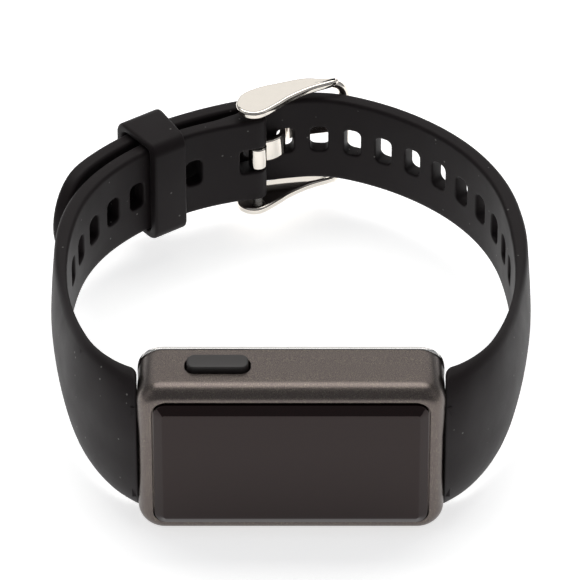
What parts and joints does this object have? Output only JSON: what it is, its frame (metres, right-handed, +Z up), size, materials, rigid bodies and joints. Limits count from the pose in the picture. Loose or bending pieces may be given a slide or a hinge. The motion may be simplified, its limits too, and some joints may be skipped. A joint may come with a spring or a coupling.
{
  "type": "fitness tracker band",
  "caption": "Fitness tracker band: rectangular metal case with a bevelled display glass and side button on a silicone strap closed by a tang buckle and a sliding keeper.",
  "frame": {"origin": "on the surface the band stands on, under the middle of the closed band", "axes": "+X along the display towards the long strap half, +Y from the display towards the wrist and the buckle, +Z up across the strap width towards the side button"},
  "size_m": [0.0684, 0.0802, 0.0261],
  "materials": {
    "case_metal": "satin bead-blasted, dark brown-grey anodised",
    "chrome_trim": "polished",
    "polished_steel": "polished",
    "steel": "turned",
    "display_glass": "polished, dark",
    "sensor_glass": "polished, dark",
    "silicone": "matte silicone",
    "black_plastic": "fine satin",
    "display_stack": "gloss",
    "circuit_board": "solder mask",
    "battery_foil": "foil pouch",
    "gold_plate": "gold plated"
  },
  "bodies": {
    "case": {"case_shell": "case_metal", "cover_glass": "display_glass", "display_gasket": "black_plastic", "display_panel": "display_stack", "inner_frame": "black_plastic", "main_board": "circuit_board", "battery": "battery_foil", "vibration_motor": "steel", "button_switch": "steel", "sensor_board": "circuit_board", "optical_sensor": "display_stack", "back_trim_ring": "chrome_trim", "back_seal": "silicone", "back_cover": "black_plastic", "sensor_window": "sensor_glass", "charging_contact_left": "gold_plate", "charging_contact_right": "gold_plate", "back_screw_1": "steel", "back_screw_2": "steel", "back_screw_3": "steel", "back_screw_4": "steel", "spring_bar_right": "steel", "spring_bar_left": "steel"},
    "button": {"side_button": "black_plastic"},
    "long_strap": {"strap_long": "silicone"},
    "short_strap": {"strap_short": "silicone", "buckle_pin": "steel"},
    "buckle": {"buckle_frame": "polished_steel"},
    "prong": {"buckle_prong": "polished_steel"},
    "keeper": {"keeper_loop": "silicone"}
  },
  "joints": [
    {"name": "button_press", "type": "slide", "parent": "case", "child": "button", "axis": [0, 0, -1], "range_m": [0, 0.0004], "stiffness_N_per_m": 1000},
    {"name": "long_strap_flex", "type": "hinge", "parent": "case", "child": "long_strap", "pos_m": [0.0193, -0.03507, 0.01265], "axis": [0, 0, -1], "range_deg": [0, 60], "stiffness_Nm_per_rad": 0.08, "deforming": ["strap_long"]},
    {"name": "short_strap_flex", "type": "hinge", "parent": "case", "child": "short_strap", "pos_m": [-0.0193, -0.03507, 0.01265], "axis": [0, 0, 1], "range_deg": [0, 60], "stiffness_Nm_per_rad": 0.08, "deforming": ["strap_short"]},
    {"name": "buckle_swing", "type": "hinge", "parent": "short_strap", "child": "buckle", "pos_m": [-0.0049, 0.03133, 0.01265], "axis": [0, 0, 1], "range_deg": [0, 50]},
    {"name": "prong_swing", "type": "hinge", "parent": "short_strap", "child": "prong", "pos_m": [-0.0049, 0.03133, 0.01265], "axis": [0, 0, 1], "range_deg": [0, 80]},
    {"name": "keeper_slide", "type": "hinge", "parent": "short_strap", "child": "keeper", "pos_m": [-0.00006, -0.00296, 0.01265], "axis": [0, 0, 1], "range_deg": [0, 9]}
  ],
  "couplings": [
    {"joint": "prong_swing", "follows": "buckle_swing", "ratio": 1.5}
  ]
}
